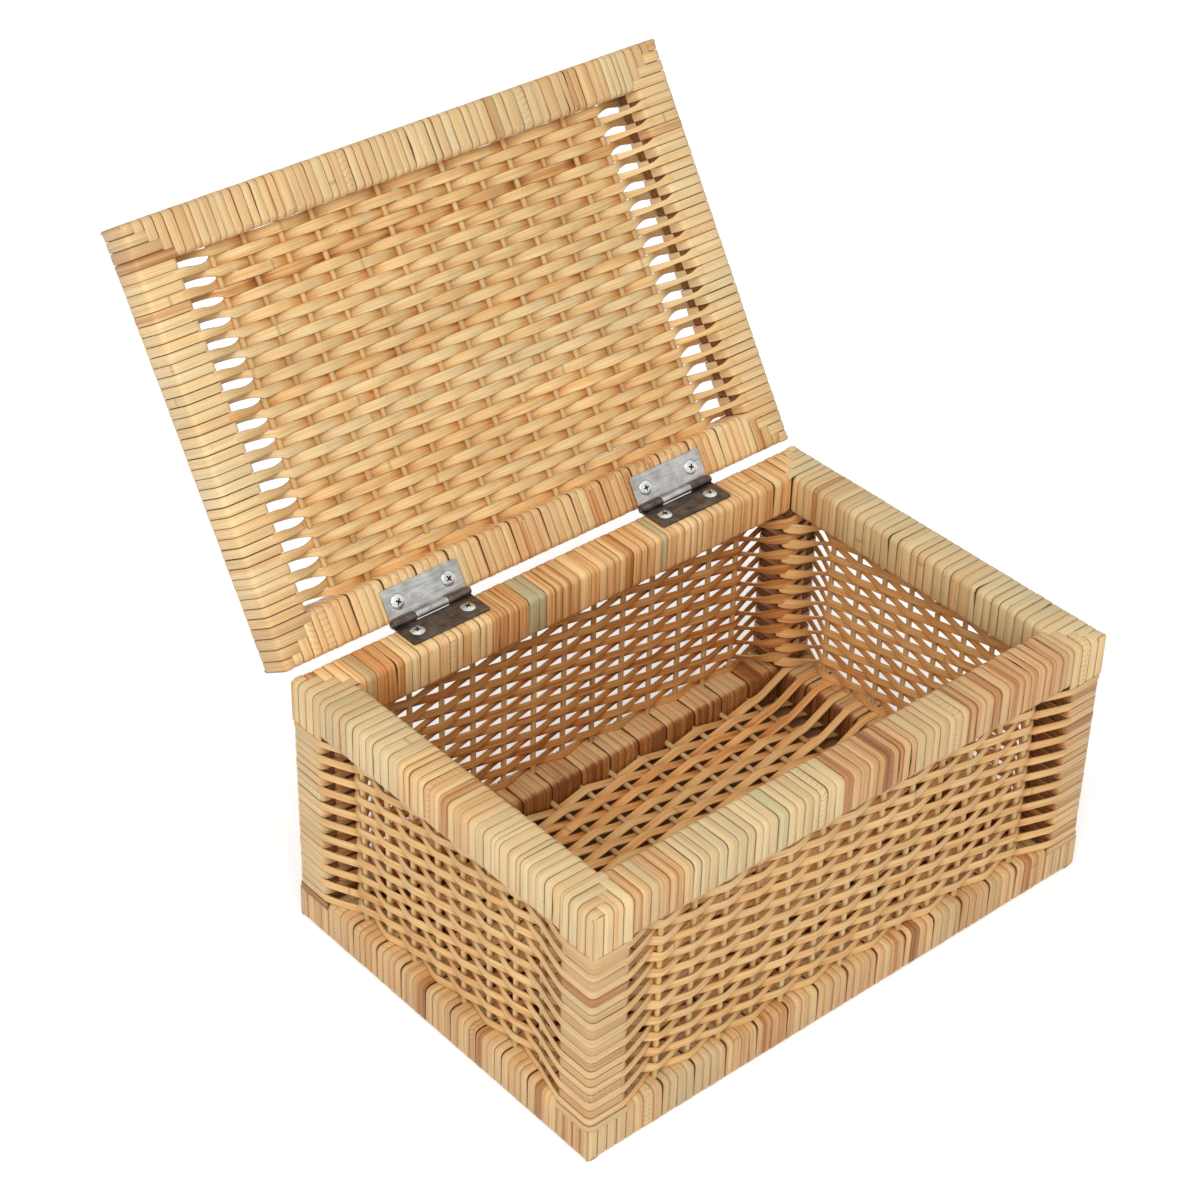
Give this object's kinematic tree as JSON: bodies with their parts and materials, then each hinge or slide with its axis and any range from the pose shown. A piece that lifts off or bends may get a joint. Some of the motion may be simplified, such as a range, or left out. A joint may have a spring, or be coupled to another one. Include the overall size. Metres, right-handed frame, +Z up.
{
  "type": "woven lidded box",
  "caption": "Rectangular rattan box on a bound square frame, with woven walls, floor and lid. The lid swings up on butt hinges along the back and stays where it is put.",
  "frame": {"origin": "middle of the back bottom rail's underside, on the surface that the box stands on", "axes": "+X along the box to the right as seen from its front, +Y to the back where the hinges are, +Z up"},
  "size_m": [0.35, 0.3807, 0.3575],
  "materials": {
    "rattan_peel": "natural rattan peel, flat strips wound side by side, satin",
    "rattan_weave": "flat rattan weavers over round rattan stakes, satin to matt",
    "pole_wood": "planed pale wood, unfinished",
    "hinge_steel": "rolled steel, dull, lightly oiled",
    "pin_steel": "drawn steel wire, dull",
    "screw_zinc": "bright zinc plate",
    "nail_steel": "bright wire"
  },
  "bodies": {
    "box_body": {"top_rail_front_pole": "pole_wood", "top_rail_back_pole": "pole_wood", "top_rail_left_pole": "pole_wood", "top_rail_right_pole": "pole_wood", "bottom_rail_front_pole": "pole_wood", "bottom_rail_back_pole": "pole_wood", "bottom_rail_left_pole": "pole_wood", "bottom_rail_right_pole": "pole_wood", "post_front_left_pole": "pole_wood", "post_front_right_pole": "pole_wood", "post_back_left_pole": "pole_wood", "post_back_right_pole": "pole_wood", "top_rail_front_binding": "rattan_peel", "top_rail_back_binding": "rattan_peel", "top_rail_left_binding": "rattan_peel", "top_rail_right_binding": "rattan_peel", "bottom_rail_front_binding": "rattan_peel", "bottom_rail_back_binding": "rattan_peel", "bottom_rail_left_binding": "rattan_peel", "bottom_rail_right_binding": "rattan_peel", "post_front_left_binding": "rattan_peel", "post_front_right_binding": "rattan_peel", "post_back_left_binding": "rattan_peel", "post_back_right_binding": "rattan_peel", "front_woven_panel": "rattan_weave", "back_woven_panel": "rattan_weave", "left_woven_panel": "rattan_weave", "right_woven_panel": "rattan_weave", "floor_woven_panel": "rattan_weave", "frame_nail_top_front_left": "nail_steel", "frame_nail_top_front_right": "nail_steel", "frame_nail_top_back_left": "nail_steel", "frame_nail_top_back_right": "nail_steel", "frame_nail_bottom_front_left": "nail_steel", "frame_nail_bottom_front_right": "nail_steel", "frame_nail_bottom_back_left": "nail_steel", "frame_nail_bottom_back_right": "nail_steel", "hinge_left_body_leaf": "hinge_steel", "hinge_right_body_leaf": "hinge_steel", "hinge_left_pin": "pin_steel", "hinge_right_pin": "pin_steel", "hinge_left_body_screw_left": "screw_zinc", "hinge_left_body_screw_right": "screw_zinc", "hinge_right_body_screw_left": "screw_zinc", "hinge_right_body_screw_right": "screw_zinc"},
    "lid": {"lid_rail_front_pole": "pole_wood", "lid_rail_back_pole": "pole_wood", "lid_rail_left_pole": "pole_wood", "lid_rail_right_pole": "pole_wood", "lid_rail_front_binding": "rattan_peel", "lid_rail_back_binding": "rattan_peel", "lid_rail_left_binding": "rattan_peel", "lid_rail_right_binding": "rattan_peel", "lid_woven_panel": "rattan_weave", "hinge_left_lid_leaf": "hinge_steel", "hinge_right_lid_leaf": "hinge_steel", "hinge_left_lid_screw_left": "screw_zinc", "hinge_left_lid_screw_right": "screw_zinc", "hinge_right_lid_screw_left": "screw_zinc", "hinge_right_lid_screw_right": "screw_zinc"}
  },
  "joints": [
    {"name": "lid_hinge", "type": "hinge", "parent": "box_body", "child": "lid", "pos_m": [0, 0.01275, 0.16], "axis": [-1, 0, 0], "range_deg": [-123.1, 57.5]}
  ]
}
